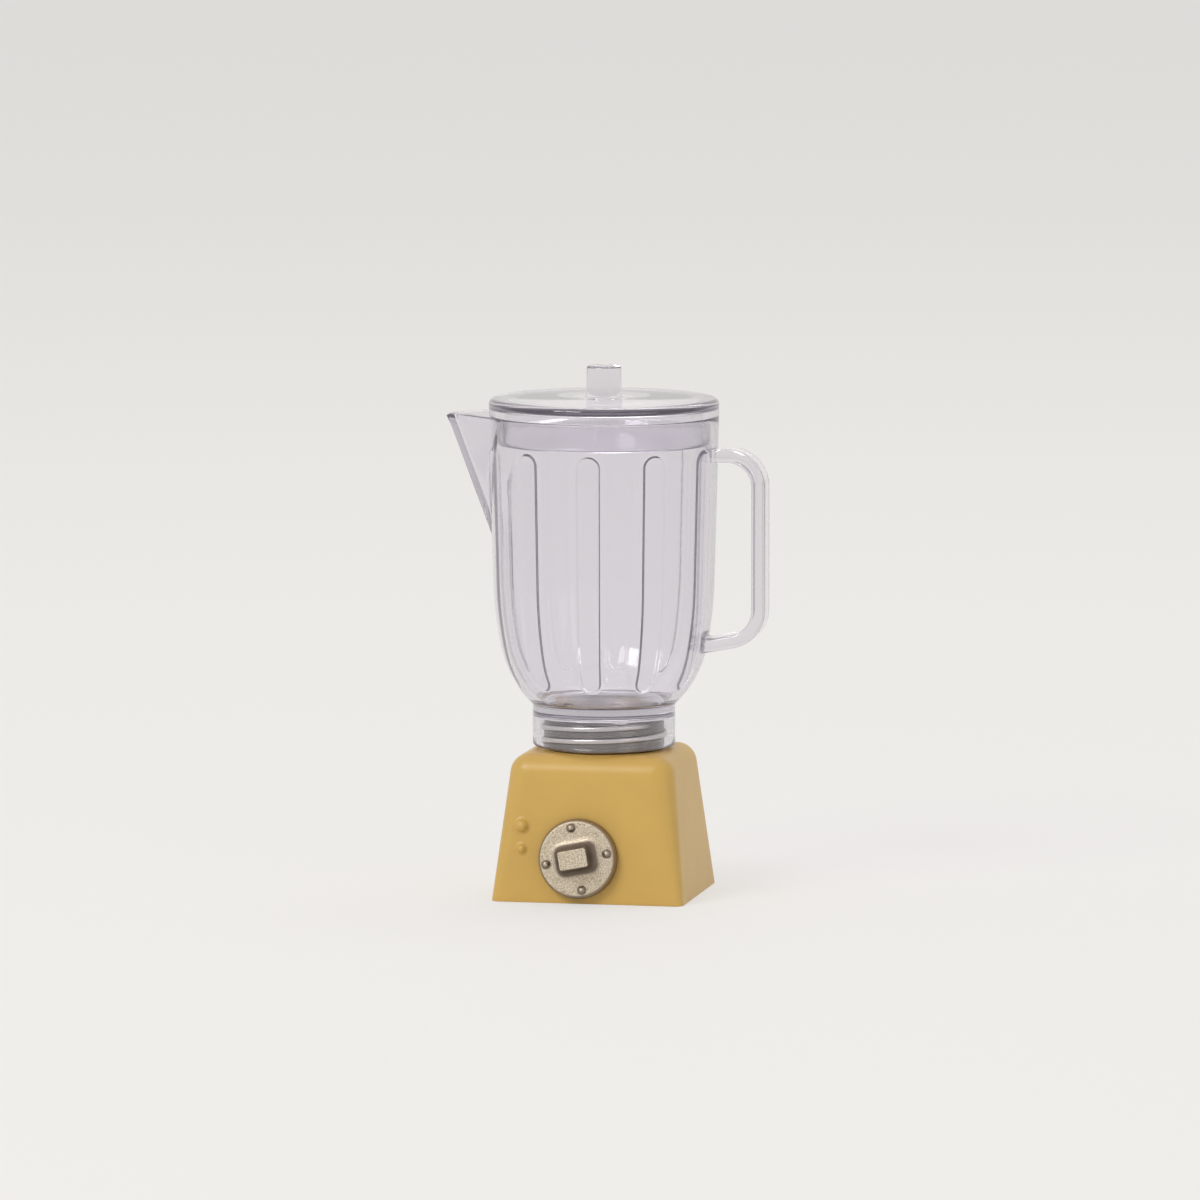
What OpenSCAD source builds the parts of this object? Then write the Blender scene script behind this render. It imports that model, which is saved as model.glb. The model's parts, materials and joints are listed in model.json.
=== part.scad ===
// Dollhouse toy blender: a tapered painted base with a dial, and a clear fluted jug with a lid.
// The origin is the middle of the underside, the front faces -Y and the handle points towards +X.

/* [Base] */
// Width of the base at the table
base_w = 23.9; // [22:0.1:32]
// Depth of the base at the table
base_d = 21.8; // [20:0.1:32]
// Height of the base
base_h = 17.9; // [16:0.1:24]
// Lean of each side from upright, in degrees
side_lean = 6.2; // [3:0.1:8]
// Radius of the soft shoulder
shoulder_r = 2.5; // [1.6:0.1:3.2]
// Radius of the upright edges at the table
corner_r = 1; // [0.8:0.1:3]
// Wall of the housing
base_wall = 1.2; // [0.9:0.05:1.4]
// Thickness of the plate that closes the underside
plate_t = 1.2; // [1:0.05:2]

/* [Domes on the front] */
// Radius of the upper dome
dome_big_r = 0.77; // [0.4:0.01:0.85]
// Radius of the lower dome
dome_small_r = 0.55; // [0.3:0.01:0.85]
// Distance of the domes left of the middle
dome_x = 8.2; // [7:0.1:9]
// Height of the lower dome above the table
dome_z = 6.5; // [4:0.1:9]
// Height of the upper dome above the lower one
dome_pitch = 2.8; // [2:0.1:4]

/* [Dial] */
// Radius of the dial
dial_r = 4.95; // [4:0.1:5.2]
// Thickness of the dial's disc
dial_t = 1.4; // [1:0.05:2]
// Rounding of the disc's front edge
dial_edge = 0.5; // [0.2:0.05:0.6]
// Distance of the dial left of the middle
dial_x = 1.05; // [0:0.05:2]
// Height of the dial's axis above the table
dial_z = 5.5; // [5.5:0.1:8]
// Turn of the dial as it was left, in degrees
dial_turn = 10; // [-180:1:180]
// Distance of the four dots from the dial's axis
dot_ring_r = 3.85; // [3.6:0.05:4.1]
// Radius of each dot
dot_r = 0.5; // [0.3:0.05:0.6]
// Width of the grip's face
grip_w = 3.45; // [2.6:0.05:3.6]
// Height of the grip's face
grip_d = 2.35; // [1.8:0.05:2.6]
// How far the grip stands off the disc
grip_h = 2.4; // [1.6:0.1:3.2]
// Radius of the dial's shaft
shaft_r = 1.1; // [0.9:0.05:1.3]

/* [Neck] */
// Radius of the neck ring over its thread
neck_r = 7.6; // [6:0.05:7.7]
// Height of the neck ring
neck_h = 3.7; // [3:0.1:3.9]
// Wall of the neck ring
neck_wall = 1.2; // [0.9:0.05:1.6]

/* [Jug] */
// Radius of the jug at its rim
rim_r = 14.1; // [13:0.1:15]
// Height of the jug from the skirt's lower edge to the rim
jug_h = 40.6; // [38:0.1:46]
// Wall of the jug
jug_wall = 0.9; // [0.8:0.05:1.1]
// Outer radius of the skirt
skirt_r = 8.75; // [8.6:0.05:9.5]
// Height of the skirt
skirt_h = 5.1; // [4.8:0.1:6]
// Lean of the upper wall from upright, in degrees
jug_draft = 1.5; // [1:0.1:2]
// Radius of the slow bend in the wall
belly_r = 47; // [35:1:60]
// Turn of the slow bend, in degrees
belly_turn = 10.3; // [8:0.1:12]
// Radius of the bend above the skirt
heel_r = 13; // [11:0.1:15]
// Thickness of the jug's floor
floor_t = 1.5; // [1:0.1:2]
// Turn of the jug on its thread as it was left, in degrees
jug_turn = 0; // [-30:1:30]

/* [Flutes] */
// Number of flutes inside the jug
flute_count = 10; // [6:1:12]
// How far each flute stands proud of the wall
flute_proud = 0.5; // [0.4:0.05:0.9]
// Width of each flute, which has round ends
flute_w = 3.1; // [2:0.1:4]
// Gap between the lid's plug ring and the flutes' tops
flute_gap = 0.4; // [0.3:0.05:3]
// Turn of the first flute from the handle, in degrees
flute_phase = -15; // [-18:1:18]

/* [Spout] */
// Reach of the spout's tip from the jug's axis
spout_reach = 19.8; // [17.5:0.1:21]
// Height of the spout from its foot to the rim
spout_h = 16; // [12:0.1:18]
// Rounding of the spout's outer tip
spout_tip_r = 0.8; // [0.6:0.05:1.2]
// Wall of the spout
spout_wall = 1.1; // [0.8:0.05:1.3]

/* [Handle] */
// Reach of the handle from the jug's axis
handle_reach = 20.3; // [20:0.1:24]
// Width of the handle
handle_w = 4.4; // [3:0.1:5.5]
// Thickness of the handle
handle_t = 1.6; // [1.3:0.05:1.9]
// Drop of the upper arm's middle below the rim
handle_drop = 4.6; // [3:0.1:6]
// Height of the lower arm's root above the skirt's lower edge
handle_root_z = 12.5; // [11:0.1:16]
// Rise of the lower arm, in degrees
handle_rise = 11; // [0:1:25]
// Bend radius of the handle along its middle
handle_bend_r = 3.85; // [2.5:0.05:4.5]

/* [Lid] */
// Thickness of the lid's flange
flange_t = 2.1; // [1.6:0.1:2.6]
// Rounding of the flange's upper edge
flange_edge = 0.7; // [0.3:0.05:1]
// Depth of the plug ring below the rim
plug_h = 3.4; // [3.2:0.1:4]
// Wall of the plug ring
plug_wall = 0.9; // [0.7:0.05:1.2]
// Thickness of the lid's plate
lid_plate_t = 1.1; // [0.8:0.05:1.2]
// Radius of the knob at its foot
knob_r = 2.2; // [1.8:0.05:2.8]
// Height of the knob
knob_h = 4; // [3:0.1:5]

/* [Fits] */
// Radial running clearance of the dial's shaft
shaft_fit = 0.05; // [0.02:0.01:0.1]
// Gap between the dial and the wall
dial_gap = 0.1; // [0.05:0.01:0.3]
// Gap round the plate in the housing
plate_gap = 0.1; // [0.05:0.01:0.2]
// Gap between the skirt's lower edge and the base
skirt_gap = 0.4; // [0.3:0.05:0.6]
// Gap between the plug ring and the jug's inner wall
plug_gap = 0.1; // [0.05:0.01:0.2]
// Radial gap round screws and spigots
screw_gap = 0.03; // [0.02:0.01:0.1]

/* [Hidden] */
$fn = 64;
// Sides of the round ends inside a hull, and steps in a quarter of its section
soft_fn = 32;
soft_steps = 6;
// How far a cut runs past the face that it opens, and the height of the thin discs that span a hull
overrun = 0.5;
hair = 0.02;
paint_yellow = "#D0AA5A";
satin_silver = "#B4AEA2";
plated_steel = "#8F8F8C";
clear_plastic = "#C8C2CB";
clear_alpha = 0.4;

// Least radius of the upright edges inside the housing and on the plate
least_corner_r = 0.4;
cavity_corner_r = max(corner_r - base_wall, least_corner_r);

// Screws of the plate and the neck: shank, head, cross recess and bosses
screw_r = 0.65;
head_r = 1.25;
head_h = 0.6;
head_sink = 0.15;
screw_l = 5;
neck_screw_l = 3.4;
cross_w = 0.35;
cross_l = 1.5;
cross_depth = 0.3;
boss_wall = 0.85;
boss_r = screw_r + boss_wall;
screw_inset = 4.6;
screw_x = base_w / 2 - screw_inset;
screw_y = base_d / 2 - screw_inset;

// Bearing behind the front wall and the clip that holds the shaft
bearing_wall = 1;
bearing_l = 1.2;
clip_t = 0.5;
clip_r = shaft_r + bearing_wall;
groove_depth = 0.25;
groove_fit = 0.03;
shaft_tail = 0.5;
shaft_l = base_wall + bearing_l + 2 * dial_gap + clip_t + shaft_tail;

// Grip of the dial: corner rounding, and how far its flanks stand out at each height of their sweep
grip_corner = 0.3;
flare_out = 1.15;
bend_out = 0.5;
waist_out = 0.15;
bend_h = 0.35;
waist_h = 1.1;

// Floor and boss inside the neck ring
neck_floor = 1;
neck_boss_h = 2.9;
neck_chamfer = 0.3;

// Skirt of the jug
skirt_bevel = 0.25;
jug_z = base_h + skirt_gap;
// Space between the neck ring's top and the jug's floor
neck_air = 0.7;
skirt_wall = 0.9;
skirt_bore_h = neck_h - skirt_gap + neck_air;
floor_z = skirt_bore_h + floor_t;

// The wall's section in the frame that leans with it: how far it runs down and inwards
body_h = jug_h - skirt_h;
body_in = rim_r - skirt_r;
wall_down = body_h * cos(jug_draft) + body_in * sin(jug_draft);
wall_in = body_in * cos(jug_draft) - body_h * sin(jug_draft);
belly_in = belly_r * (1 - cos(belly_turn));
heel_end = acos(cos(belly_turn) - (wall_in - belly_in) / heel_r);
straight_l = wall_down - belly_r * sin(belly_turn) - heel_r * (sin(heel_end) - sin(belly_turn));
belly_end = jug_draft + belly_turn;
wall_end = jug_draft + heel_end;
belly_start = [rim_r - straight_l * sin(jug_draft), jug_h - straight_l * cos(jug_draft)];
belly_centre = belly_start + belly_r * [-cos(jug_draft), sin(jug_draft)];
heel_centre = belly_centre + (belly_r - heel_r) * [cos(belly_end), -sin(belly_end)];
belly_steps = 4;
heel_steps = 8;

// A point of the wall, inset from its outer surface, at a given lean on the slow bend or the heel
function belly_point(inset, lean) = belly_centre + (belly_r - inset) * [cos(lean), -sin(lean)];
function heel_point(inset, lean) = heel_centre + (heel_r - inset) * [cos(lean), -sin(lean)];
// A point of the straight wall, inset from its outer surface, at a given distance down from the rim
function wall_point(inset, down) = [rim_r, jug_h] - down * [sin(jug_draft), cos(jug_draft)]
    + inset * [-cos(jug_draft), sin(jug_draft)];
// The bent part of the wall, from the foot of the straight wall to the skirt
function wall_bends(inset) = concat(
    [for (i = [0 : belly_steps]) belly_point(inset, jug_draft + belly_turn * i / belly_steps)],
    [for (i = [1 : heel_steps]) heel_point(inset, belly_end + (wall_end - belly_end) * i / heel_steps)]
);

// Flutes: the distance of their tops below the rim, where their slots start from the axis, and the
// lean of the wall at their lower ends
flute_drop = plug_h + flute_gap;
flute_from_r = skirt_r / 2;
flute_end_lean = 5;
flute_end = wall_end - flute_end_lean;

// Spout: the lean of its flanks in plan, its inner tip and its foot
spout_tip_x = spout_reach - spout_tip_r;
spout_tip_inner_r = 0.2;
spout_root_r = rim_r - jug_wall / 2;
spout_flank = (spout_root_r - spout_tip_r) / spout_tip_x;
spout_inner_x = (spout_root_r - spout_wall - spout_tip_inner_r) / spout_flank;
spout_foot_z = jug_h - spout_h;
spout_foot_r = 0.3;

// Handle: middle line of the grip, and the centres and turns of its bends
grip_x = handle_reach - handle_t / 2;
bend_x = grip_x - handle_bend_r;
upper_arm_z = jug_h - handle_drop;
root_x = heel_point(0, belly_end)[0];
lower_bend_z = handle_root_z + (bend_x - root_x) * tan(handle_rise) + handle_bend_r / cos(handle_rise);
upper_bend_z = upper_arm_z - handle_bend_r;
handle_edge = 0.3;
// How far the arms run into the wall before they are trimmed to it
root_sink = 3;
upper_arm_l = bend_x - rim_r + root_sink;
lower_arm_l = (bend_x + handle_bend_r * sin(handle_rise) - root_x + root_sink) / cos(handle_rise);

// Lid and knob
plug_r = wall_point(jug_wall, plug_h)[0] - plug_gap;
lid_hollow_h = plug_h + flange_t - lid_plate_t;
plug_edge = 0.25;
knob_edge = 0.35;
knob_draft = 0.1;
spigot_r = 1.1;

// Half width and half depth of the housing at a height, inset square to the leaning wall
function half_w(z, inset) = base_w / 2 - z * tan(side_lean) - inset / cos(side_lean);
function half_d(z, inset) = base_d / 2 - z * tan(side_lean) - inset / cos(side_lean);

// Places its children on the front wall, with +Z out of the wall and +Y up along it
module on_front(x, z) {
    translate([x, -half_d(z, 0), z]) rotate([90 - side_lean, 0, 0]) children();
}

// Places its children at the dial's axis, turned as the dial was left
module at_dial() {
    on_front(-dial_x, dial_z) rotate([0, 0, dial_turn]) children();
}

// Round post whose upper end is half a ball
module soft_post(r) {
    rotate_extrude($fn = soft_fn)
        polygon(concat([[0, 0]],
            [for (i = [0 : soft_steps - 1]) r * [cos(90 * i / soft_steps), sin(90 * i / soft_steps)]],
            [[0, r]]));
}

// The housing's leaning block with soft edges, inset from its outer surface and cut at z_low
module soft_block(inset, z_low) {
    top_r = shoulder_r - inset;
    foot_r = inset > 0 ? cavity_corner_r : corner_r;
    top_z = base_h - shoulder_r;
    hull() for (sx = [-1, 1], sy = [-1, 1]) {
        translate([sx * (half_w(z_low, inset) - foot_r), sy * (half_d(z_low, inset) - foot_r), z_low])
            cylinder(r = foot_r, h = hair, $fn = soft_fn);
        translate([sx * (half_w(top_z, inset) - top_r / cos(side_lean)),
            sy * (half_d(top_z, inset) - top_r / cos(side_lean)), top_z])
            soft_post(top_r);
    }
}

// Places its children at the two screws of the plate, in opposite corners
module at_plate_screw(side) {
    translate([side * screw_x, side * screw_y, 0]) children();
}

module base_housing() {
    color(paint_yellow) difference() {
        union() {
            difference() {
                soft_block(0, 0);
                soft_block(base_wall, -overrun);
            }
            for (side = [-1, 1]) at_plate_screw(side)
                translate([0, 0, plate_t]) cylinder(r = boss_r, h = base_h - base_wall / 2 - plate_t);
            at_dial() translate([0, 0, -base_wall - bearing_l])
                cylinder(r = clip_r, h = base_wall / 2 + bearing_l);
            on_front(-dome_x, dome_z) sphere(dome_small_r);
            on_front(-dome_x, dome_z + dome_pitch) sphere(dome_big_r);
        }
        for (side = [-1, 1]) at_plate_screw(side)
            translate([0, 0, plate_t - overrun]) cylinder(r = screw_r + screw_gap, h = screw_l + 2 * overrun);
        at_dial() translate([0, 0, -shaft_l]) cylinder(r = shaft_r + shaft_fit, h = shaft_l + overrun);
        translate([0, 0, base_h - base_wall - overrun])
            cylinder(r = screw_r + screw_gap, h = base_wall + 2 * overrun);
    }
}

module base_plate() {
    half_x = half_w(plate_t, base_wall) - plate_gap;
    half_y = half_d(plate_t, base_wall) - plate_gap;
    seat = head_sink + head_h;
    color(paint_yellow) difference() {
        linear_extrude(plate_t) union() {
            square(2 * [half_x - cavity_corner_r, half_y], center = true);
            square(2 * [half_x, half_y - cavity_corner_r], center = true);
            for (sx = [-1, 1], sy = [-1, 1])
                translate([sx * (half_x - cavity_corner_r), sy * (half_y - cavity_corner_r)])
                    circle(cavity_corner_r);
        }
        for (side = [-1, 1]) at_plate_screw(side) {
            translate([0, 0, -overrun]) cylinder(r = head_r + plate_gap, h = seat + overrun);
            cylinder(r = screw_r + screw_gap, h = plate_t + overrun);
        }
    }
}

// Screw with its head's outer face at zero and its tip upwards
module screw(length) {
    color(plated_steel) difference() {
        union() {
            cylinder(r = head_r, h = head_h);
            cylinder(r = screw_r, h = head_h + length);
        }
        for (turn = [0, 90]) rotate([0, 0, turn])
            translate([-cross_l / 2, -cross_w / 2, -overrun]) cube([cross_l, cross_w, cross_depth + overrun]);
    }
}

module plate_screw(side) {
    at_plate_screw(side) translate([0, 0, head_sink]) screw(screw_l);
}

module neck_screw() {
    translate([0, 0, base_h - base_wall - head_h]) screw(neck_screw_l);
}

module neck_ring() {
    color(satin_silver) translate([0, 0, base_h]) difference() {
        union() {
            difference() {
                union() {
                    cylinder(r = neck_r, h = neck_h - neck_chamfer);
                    translate([0, 0, neck_h - neck_chamfer])
                        cylinder(r1 = neck_r, r2 = neck_r - neck_chamfer, h = neck_chamfer);
                }
                translate([0, 0, neck_floor]) cylinder(r = neck_r - neck_wall, h = neck_h);
            }
            cylinder(r = screw_r + bearing_wall, h = neck_boss_h);
        }
        translate([0, 0, -overrun])
            cylinder(r = screw_r + screw_gap, h = neck_screw_l - base_wall + screw_gap + overrun);
    }
}

// Corners of a thin slab of the dial's grip, grown outwards from the size of its face
module grip_slab(out, z) {
    for (sx = [-1, 1], sy = [-1, 1])
        translate([sx * (grip_w / 2 - grip_corner), sy * (grip_d / 2 - grip_corner), z])
            cylinder(r = grip_corner + out, h = hair, $fn = soft_fn);
}

module dial() {
    face_z = dial_gap + dial_t;
    clip_z = -base_wall - bearing_l - dial_gap;
    color(satin_silver) at_dial() difference() {
        union() {
            translate([0, 0, dial_gap]) rotate_extrude() {
                square([dial_r - dial_edge, dial_t]);
                square([dial_r, dial_t - dial_edge]);
                translate([dial_r - dial_edge, dial_t - dial_edge]) circle(dial_edge);
            }
            for (turn = [0 : 90 : 270]) rotate([0, 0, turn]) translate([dot_ring_r, 0, face_z]) sphere(dot_r);
            hull() {
                grip_slab(flare_out, face_z - hair);
                grip_slab(bend_out, face_z + bend_h);
            }
            hull() {
                grip_slab(bend_out, face_z + bend_h - hair);
                grip_slab(waist_out, face_z + waist_h);
            }
            hull() {
                grip_slab(waist_out, face_z + waist_h - hair);
                grip_slab(0, face_z + grip_h - hair);
            }
            translate([0, 0, -shaft_l]) cylinder(r = shaft_r, h = shaft_l + dial_gap + dial_edge);
        }
        translate([0, 0, clip_z - clip_t - dial_gap / 2]) difference() {
            cylinder(r = shaft_r + overrun, h = clip_t + dial_gap);
            translate([0, 0, -overrun])
                cylinder(r = shaft_r - groove_depth, h = clip_t + dial_gap + 2 * overrun);
        }
    }
}

module dial_clip() {
    hole_r = shaft_r - groove_depth + groove_fit;
    color(plated_steel) at_dial()
        translate([0, 0, -base_wall - bearing_l - dial_gap - clip_t]) difference() {
            cylinder(r = clip_r, h = clip_t);
            translate([0, 0, -overrun]) cylinder(r = hole_r, h = clip_t + 2 * overrun);
            translate([-hole_r, 0, -overrun]) cube([2 * hole_r, clip_r + overrun, clip_t + 2 * overrun]);
        }
}

// The jug's outer body and skirt as one solid of revolution
module jug_body() {
    rotate_extrude() polygon(concat(
        [[0, jug_h], [rim_r, jug_h]],
        wall_bends(0),
        [[skirt_r, skirt_bevel], [skirt_r - skirt_bevel, 0], [0, 0]]
    ));
}

// The round space inside the jug, inset from its outer surface, from the floor to a depth below the rim
module jug_hollow(inset, depth) {
    wall = concat([wall_point(inset, depth)], [for (p = wall_bends(inset)) if (p[1] > floor_z) p]);
    last = wall[len(wall) - 1];
    rotate_extrude() polygon(concat(
        [[0, wall[0][1]]], wall, [[last[0] - (last[1] - floor_z), floor_z], [0, floor_z]]
    ));
}

// Outline of one flute seen from the jug's axis, cut out along a ray from the axis
module flute_slot() {
    bottom_z = heel_point(jug_wall, flute_end)[1];
    top_z = jug_h - flute_drop;
    translate([flute_from_r, 0, 0]) rotate([90, 0, 90]) linear_extrude(rim_r - flute_from_r) union() {
        translate([-flute_w / 2, bottom_z + flute_w / 2]) square([flute_w, top_z - bottom_z - flute_w]);
        for (z = [bottom_z + flute_w / 2, top_z - flute_w / 2]) translate([0, z]) circle(flute_w / 2);
    }
}

// The space inside the jug with the flutes standing proud of its wall
module fluted_hollow() {
    pitch = 360 / flute_count;
    rotate([0, 0, flute_phase + pitch / 2]) {
        jug_hollow(jug_wall + flute_proud, flute_drop / 2);
        difference() {
            jug_hollow(jug_wall, -overrun);
            for (i = [0 : flute_count - 1]) rotate([0, 0, (i + 1 / 2) * pitch]) flute_slot();
        }
    }
}

// The spout's V, from the rim down to its foot on the wall
module spout_block(disc_r, tip_x, tip_r, foot_inset, rise) {
    foot = wall_point(foot_inset, spout_h)[0];
    hull() {
        translate([0, 0, jug_h - hair]) cylinder(r = disc_r, h = hair + rise, $fn = 2 * soft_fn);
        translate([-tip_x, 0, jug_h - hair]) cylinder(r = tip_r, h = hair + rise, $fn = soft_fn);
        translate([-foot + spout_foot_r, 0, spout_foot_z])
            cylinder(r = spout_foot_r, h = hair, $fn = soft_fn);
    }
}

module on_jug() {
    translate([0, 0, jug_z]) rotate([0, 0, jug_turn]) children();
}

module jug() {
    color(clear_plastic, clear_alpha) on_jug() difference() {
        union() {
            jug_body();
            spout_block(spout_root_r, spout_tip_x, spout_tip_r, 0, 0);
        }
        translate([0, 0, -overrun]) cylinder(r = skirt_r - skirt_wall, h = skirt_bore_h + overrun);
        fluted_hollow();
        spout_block(spout_root_r - spout_wall, spout_inner_x, spout_tip_inner_r, spout_wall, overrun);
    }
}

// Section of the handle's bar, centred, with rounded edges
module handle_section() {
    square([handle_t - 2 * handle_edge, handle_w], center = true);
    square([handle_t, handle_w - 2 * handle_edge], center = true);
    for (sx = [-1, 1], sy = [-1, 1])
        translate([sx * (handle_t / 2 - handle_edge), sy * (handle_w / 2 - handle_edge)]) circle(handle_edge);
}

module jug_handle() {
    color(clear_plastic, clear_alpha) on_jug() difference() {
        union() {
            // Upper arm, from inside the wall to the upper bend
            translate([bend_x - upper_arm_l, 0, upper_arm_z]) rotate([0, 90, 0])
                linear_extrude(upper_arm_l) handle_section();
            translate([bend_x, 0, upper_bend_z]) rotate([90, 0, 0])
                rotate_extrude(angle = 90) translate([handle_bend_r, 0]) handle_section();
            // Grip, between the two bends
            translate([grip_x, 0, lower_bend_z]) linear_extrude(upper_bend_z - lower_bend_z) handle_section();
            translate([bend_x, 0, lower_bend_z]) rotate([90, 0, 0])
                rotate_extrude(angle = handle_rise - 90) translate([handle_bend_r, 0]) handle_section();
            // Lower arm, which runs back down to the wall
            translate([bend_x, 0, lower_bend_z]) rotate([0, -handle_rise, 0])
                translate([0, 0, -handle_bend_r]) rotate([0, -90, 0])
                    linear_extrude(lower_arm_l) handle_section();
        }
        jug_body();
    }
}

module lid() {
    color(clear_plastic, clear_alpha) translate([0, 0, jug_z + jug_h]) difference() {
        rotate_extrude() {
            square([rim_r - flange_edge, flange_t]);
            square([rim_r, flange_t - flange_edge]);
            translate([rim_r - flange_edge, flange_t - flange_edge]) circle(flange_edge);
            polygon([[0, -plug_h], [plug_r - plug_edge, -plug_h], [plug_r, plug_edge - plug_h],
                [plug_r, hair], [0, hair]]);
        }
        translate([0, 0, -plug_h - overrun]) cylinder(r = plug_r - plug_wall, h = lid_hollow_h + overrun);
        cylinder(r = spigot_r + screw_gap, h = flange_t + overrun);
    }
}

module lid_knob() {
    top_r = knob_r - knob_draft;
    color(clear_plastic, clear_alpha) translate([0, 0, jug_z + jug_h + flange_t]) union() {
        rotate_extrude() {
            polygon([[0, 0], [knob_r, 0], [top_r, knob_h - knob_edge], [0, knob_h - knob_edge]]);
            square([top_r - knob_edge, knob_h]);
            translate([top_r - knob_edge, knob_h - knob_edge]) circle(knob_edge);
        }
        translate([0, 0, -lid_plate_t]) cylinder(r = spigot_r, h = lid_plate_t + knob_edge);
    }
}

base_housing();
base_plate();
plate_screw(1);  // plate_screw_1
plate_screw(-1);  // plate_screw_2
neck_ring();
neck_screw();
dial();
dial_clip();
jug();
jug_handle();
lid();
lid_knob();
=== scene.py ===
"""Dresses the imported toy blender: enamelled base, cast dial, threaded neck and clear fluted jug."""

import json
import math

import bmesh
import bpy
from mathutils import Matrix, Vector
from mathutils.bvhtree import BVHTree


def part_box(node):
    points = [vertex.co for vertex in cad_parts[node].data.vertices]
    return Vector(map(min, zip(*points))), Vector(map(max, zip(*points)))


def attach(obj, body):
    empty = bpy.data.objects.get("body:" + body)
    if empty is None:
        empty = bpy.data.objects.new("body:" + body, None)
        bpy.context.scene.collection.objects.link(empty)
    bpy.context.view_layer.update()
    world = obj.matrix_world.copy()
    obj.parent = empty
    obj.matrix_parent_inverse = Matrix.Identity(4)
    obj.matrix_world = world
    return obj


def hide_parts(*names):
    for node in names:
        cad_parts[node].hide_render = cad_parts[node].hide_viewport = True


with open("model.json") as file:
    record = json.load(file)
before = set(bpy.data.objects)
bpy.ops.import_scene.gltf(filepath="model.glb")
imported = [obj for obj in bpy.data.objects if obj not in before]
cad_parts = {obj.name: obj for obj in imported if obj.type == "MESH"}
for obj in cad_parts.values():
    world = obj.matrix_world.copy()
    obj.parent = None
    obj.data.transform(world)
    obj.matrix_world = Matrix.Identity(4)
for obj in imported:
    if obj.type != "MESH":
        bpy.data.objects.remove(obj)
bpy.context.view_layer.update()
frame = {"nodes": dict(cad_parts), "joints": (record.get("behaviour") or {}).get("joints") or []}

# Pieces are modelled in millimetres, and each mesh is turned to metres when it is finished
MM = 0.001


def extent(node):
    """Lowest and highest corner of a CAD node in millimetres."""
    low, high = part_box(node)
    return low / MM, high / MM


# Base: the same lean, radii and walls as its solid
base_low, base_high = extent("base_housing")
BASE_W = base_high.x - base_low.x
BASE_D = 2 * base_high.y
BASE_H = base_high.z
SIDE_LEAN = 6.2
SHOULDER_R = 2.5
SHOULDER_STEPS = 14
WALL_STEPS = 12
FACE_CUTS = 15
CORNER_R = 1
INNER_CORNER_R = 0.4
FOOT_EDGE = 0.12
# A level of the walls close above the foot, as a share of their height, and a ring on the roof inside the
# shoulder, which keep the foot's edge crisp and the roof flat
FOOT_RING = 0.03
ROOF_RING = 1
BASE_WALL = 1.2
CAVITY_H = 13.5
# How far the walls swell outwards in the middle
PILLOW = 0.05
# Radius of the hole that the dial's shaft turns in
BEARING_R = 1.15

# Domes on the front: place of the lower one, distance between them, radii and the flare round each
DOME_X = -8.2
DOME_Z = 6.5
DOME_PITCH = 2.8
DOME_RADII = {"dome_lower": 0.55, "dome_upper": 0.77}
DOME_FLARE = 0.6

# Dial, in its own frame: Z out of the wall along its axis. Its front edge is rounded deeper than it is wide
DIAL_R = 4.88
DIAL_GAP = 0.1
DIAL_T = 1.4
DIAL_EDGE = 0.42
DIAL_EDGE_H = 1.1
DIAL_BACK_EDGE = 0.15
# Widths of the rings of faces inside the disc's edge and the grip's, which keep their faces flat
DIAL_RING = 0.2
GRIP_RING = 0.12
DIAL_TURN = 11.3
SHAFT_R = 1.1
SHAFT_L = 3.6
GROOVE_R = 0.85
GROOVE_Z = (-3.05, -2.45)
BEAD_RING_R = 3.85
BEAD_R = 0.5
BEAD_FLARE = 0.16
# How deep the grip's foot stands in the disc
FOOT_SINK = 0.01
# Grip: size of its face, and how far and how high its flanks sweep out. A power below one lets the sweep
# leave the disc without an edge
GRIP_W = 3.6
GRIP_D = 2.35
GRIP_H = 2.4
GRIP_CORNER = 0.3
GRIP_DRAFT = 0.15
GRIP_FLARE = 1.4
GRIP_FLARE_H = 1.5
GRIP_SWEEP = 0.8
GRIP_STEPS = 18
GRIP_EDGE = 0.09
GRIP_EDGE_STEPS = 6

# Neck ring with its screw thread, whose crest stands a little outside the solid's plain cylinder
neck_low, neck_high = extent("neck_ring")
THREAD_OVER = 0.12
NECK_R = neck_high.x + THREAD_OVER
THREAD_PROUD = 0.36
# How deep the ridge's foot stands in the cup
THREAD_SINK = 0.1
THREAD_PITCH = 1.45
THREAD_W = 0.62
THREAD_Z = 1.38
THREAD_FROM = -170
THREAD_TURNS = 1.4
THREAD_FADE = 25
THREAD_STEPS = 120
NECK_WALL = 1.25
NECK_EDGE = 0.1
NECK_CHAMFER = 0.2
NECK_LIP = 0.15
NECK_FLOOR = 1
NECK_BOSS_R = 1.65
NECK_BOSS_H = 2.9
NECK_BORE_R = 0.68

# Jug: the section's line and arcs are those of its solid
jug_low, jug_high = extent("jug")
JUG_Z = jug_low.z
JUG_H = jug_high.z - jug_low.z
JUG_WALL = 0.9
RIM_R = 14.1
SKIRT_R = 8.75
SKIRT_H = 5.1
SKIRT_WALL = 0.9
SKIRT_BEVEL = 0.3
SKIRT_BORE_H = 4
# The jug is round up to here, and above it the flutes and the spout shape the wall
ROUND_H = SKIRT_H + 1
FLOOR_T = 1.5
# Height of the fillet where the wall meets the floor
FLOOR_FILLET = 0.3
JUG_DRAFT = 1.5
BELLY_R = 47
BELLY_TURN = 10.3
HEEL_R = 13
RIM_EDGE = 0.15
RIM_STEPS = 4
# Flutes: half angle in degrees, height of the edge and of the crown on it, distance of the tops below the
# rim, height of the feet above the jug's underside, and turn of the first flute from the handle
FLUTES = 10
FLUTE_HALF = 6.75
FLUTE_STEP = 0.28
FLUTE_CROWN = 0.07
FLUTE_DROP = 3.8
FLUTE_FOOT = 26 - JUG_Z
FLUTE_PHASE = -15
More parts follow.
